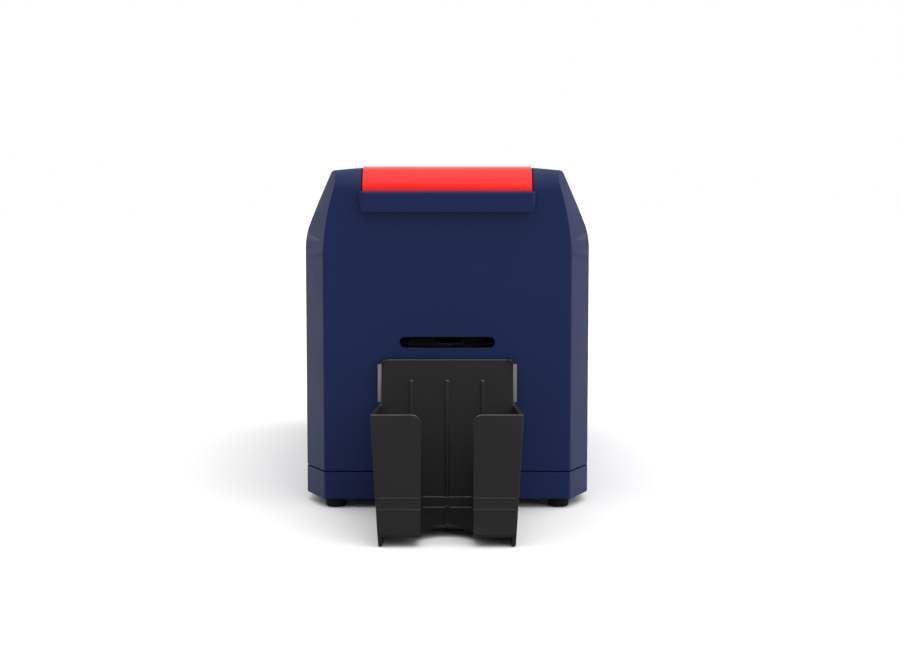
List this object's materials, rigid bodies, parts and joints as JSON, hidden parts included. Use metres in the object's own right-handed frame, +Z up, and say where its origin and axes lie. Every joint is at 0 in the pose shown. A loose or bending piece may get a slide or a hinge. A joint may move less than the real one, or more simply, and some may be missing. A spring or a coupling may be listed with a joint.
{
  "type": "id card printer",
  "caption": "Desktop card printer with a front-lifting lid, card slot and hang-on output bin, with rollers, gears, ribbon and print head inside.",
  "frame": {"origin": "on the table under the middle of the machine with its card bin hung on", "axes": "+Z up, +Y from the front face to the rear, +X to the right seen from the front"},
  "size_m": [0.186, 0.489, 0.221],
  "materials": {
    "navy_plastic": "satin moulded ABS with a fine grain",
    "red_plastic": "smooth, semi-gloss",
    "black_plastic": "satin moulded, fine grain",
    "grey_plastic": "satin moulded",
    "foot_rubber": "matt",
    "roller_rubber": "ground, matt",
    "acetal": "smooth, waxy",
    "zinc_sheet": "zinc plated sheet",
    "bright_steel": "satin turned",
    "black_metal": "black lacquer on laminations",
    "aluminium": "milled",
    "ribbon_film": "glossy dye film",
    "board": "solder mask"
  },
  "bodies": {
    "chassis": {"base_tray": "navy_plastic", "upper_housing": "navy_plastic", "rear_panel": "zinc_sheet", "slot_bezel": "black_plastic", "foot_front_left": "foot_rubber", "foot_front_right": "foot_rubber", "foot_rear_left": "foot_rubber", "foot_rear_right": "foot_rubber", "side_plate_left": "zinc_sheet", "side_plate_right": "zinc_sheet", "cross_bars": "bright_steel", "hinge_pins": "bright_steel", "roller_bushes": "acetal", "drive_motor": "black_metal", "ribbon_motor": "bright_steel", "main_board": "board", "card_magazine": "black_plastic", "card_gate": "grey_plastic", "ribbon_cassette": "grey_plastic", "ribbon_film": "ribbon_film", "power_inlet": "black_plastic", "data_ports": "bright_steel", "switch_housing": "black_plastic", "fan_frame": "black_plastic", "card_guides": "black_plastic"},
    "lid": {"lid_shell": "navy_plastic", "lid_panel": "red_plastic", "head_bracket": "zinc_sheet", "print_head": "aluminium", "head_springs": "bright_steel"},
    "card_bin": {"hopper_bin": "black_plastic", "hopper_strips": "bright_steel"},
    "exit_roller": {"exit_shaft": "bright_steel", "exit_rubber": "roller_rubber", "exit_gear": "acetal"},
    "platen": {"platen_shaft": "bright_steel", "platen_rubber": "roller_rubber", "platen_gear": "acetal"},
    "transport_roller": {"transport_shaft": "bright_steel", "transport_rubber": "roller_rubber", "transport_gear": "acetal"},
    "feed_roller": {"feed_shaft": "bright_steel", "feed_rubber": "roller_rubber", "feed_gear": "acetal"},
    "front_idler": {"idler_front": "acetal"},
    "middle_idler": {"idler_middle": "acetal"},
    "rear_idler": {"idler_rear": "acetal"},
    "pinion": {"motor_pinion": "bright_steel"},
    "exit_pinch": {"exit_pinch_roller": "acetal"},
    "cleaner": {"cleaning_roller": "acetal"},
    "take_up": {"take_up_spool": "black_plastic", "take_up_roll": "ribbon_film", "ribbon_gear": "acetal"},
    "supply": {"supply_spool": "black_plastic", "supply_roll": "ribbon_film"},
    "ribbon_drive": {"ribbon_pinion": "bright_steel"},
    "fan_wheel": {"fan_rotor": "black_plastic"},
    "stack_weight": {"card_weight": "grey_plastic"},
    "rear_door": {"feeder_door": "navy_plastic"},
    "rocker": {"power_rocker": "black_plastic"}
  },
  "joints": [
    {"name": "lid_hinge", "type": "hinge", "parent": "chassis", "child": "lid", "pos_m": [0, 0.1225, 0.213], "axis": [-1, 0, 0], "range_deg": [0, 78]},
    {"name": "bin_lift", "type": "slide", "parent": "chassis", "child": "card_bin", "axis": [0, 0, 1], "range_m": [0, 0.06]},
    {"name": "platen_spin", "type": "hinge", "parent": "chassis", "child": "platen", "pos_m": [0, -0.0175, 0.1013], "axis": [1, 0, 0], "continuous": true},
    {"name": "exit_spin", "type": "hinge", "parent": "chassis", "child": "exit_roller", "pos_m": [0, -0.0955, 0.1013], "axis": [1, 0, 0], "continuous": true},
    {"name": "transport_spin", "type": "hinge", "parent": "chassis", "child": "transport_roller", "pos_m": [0, 0.0545, 0.1013], "axis": [1, 0, 0], "continuous": true},
    {"name": "feed_spin", "type": "hinge", "parent": "chassis", "child": "feed_roller", "pos_m": [0, 0.1265, 0.1013], "axis": [1, 0, 0], "continuous": true},
    {"name": "front_idler_spin", "type": "hinge", "parent": "chassis", "child": "front_idler", "pos_m": [0, -0.0565, 0.1013], "axis": [1, 0, 0], "continuous": true},
    {"name": "middle_idler_spin", "type": "hinge", "parent": "chassis", "child": "middle_idler", "pos_m": [0, 0.0185, 0.1013], "axis": [1, 0, 0], "continuous": true},
    {"name": "rear_idler_spin", "type": "hinge", "parent": "chassis", "child": "rear_idler", "pos_m": [0, 0.0905, 0.1013], "axis": [1, 0, 0], "continuous": true},
    {"name": "motor_spin", "type": "hinge", "parent": "chassis", "child": "pinion", "pos_m": [0, 0.0185, 0.0683], "axis": [1, 0, 0], "continuous": true},
    {"name": "exit_pinch_spin", "type": "hinge", "parent": "chassis", "child": "exit_pinch", "pos_m": [0, -0.0955, 0.1136], "axis": [1, 0, 0], "continuous": true},
    {"name": "cleaner_spin", "type": "hinge", "parent": "chassis", "child": "cleaner", "pos_m": [0, 0.0545, 0.1136], "axis": [1, 0, 0], "continuous": true},
    {"name": "supply_spin", "type": "hinge", "parent": "chassis", "child": "supply", "pos_m": [0, 0.0425, 0.1534], "axis": [1, 0, 0], "continuous": true},
    {"name": "take_up_spin", "type": "hinge", "parent": "chassis", "child": "take_up", "pos_m": [0, -0.0855, 0.1644], "axis": [1, 0, 0], "continuous": true},
    {"name": "ribbon_drive_spin", "type": "hinge", "parent": "chassis", "child": "ribbon_drive", "pos_m": [0, -0.0855, 0.1384], "axis": [1, 0, 0], "continuous": true},
    {"name": "fan_spin", "type": "hinge", "parent": "chassis", "child": "fan_wheel", "pos_m": [0.061, 0.2367, 0.135], "axis": [0, 1, 0], "continuous": true},
    {"name": "weight_lift", "type": "slide", "parent": "chassis", "child": "stack_weight", "axis": [0, 0, 1], "range_m": [0, 0.06]},
    {"name": "rear_door_hinge", "type": "hinge", "parent": "chassis", "child": "rear_door", "pos_m": [0, 0.2415, 0.102], "axis": [-1, 0, 0], "range_deg": [0, 88]},
    {"name": "power_rocker_tip", "type": "hinge", "parent": "chassis", "child": "rocker", "pos_m": [0.048, 0.2405, 0.054], "axis": [-1, 0, 0], "range_deg": [0, 14]}
  ],
  "couplings": [
    {"joint": "exit_spin", "follows": "platen_spin", "ratio": 1},
    {"joint": "transport_spin", "follows": "platen_spin", "ratio": 1},
    {"joint": "feed_spin", "follows": "platen_spin", "ratio": 1},
    {"joint": "front_idler_spin", "follows": "platen_spin", "ratio": -0.44444},
    {"joint": "middle_idler_spin", "follows": "platen_spin", "ratio": -0.5},
    {"joint": "rear_idler_spin", "follows": "platen_spin", "ratio": -0.5},
    {"joint": "motor_spin", "follows": "platen_spin", "ratio": 1.3333},
    {"joint": "take_up_spin", "follows": "supply_spin", "ratio": 1.75},
    {"joint": "ribbon_drive_spin", "follows": "supply_spin", "ratio": -5.8333}
  ]
}
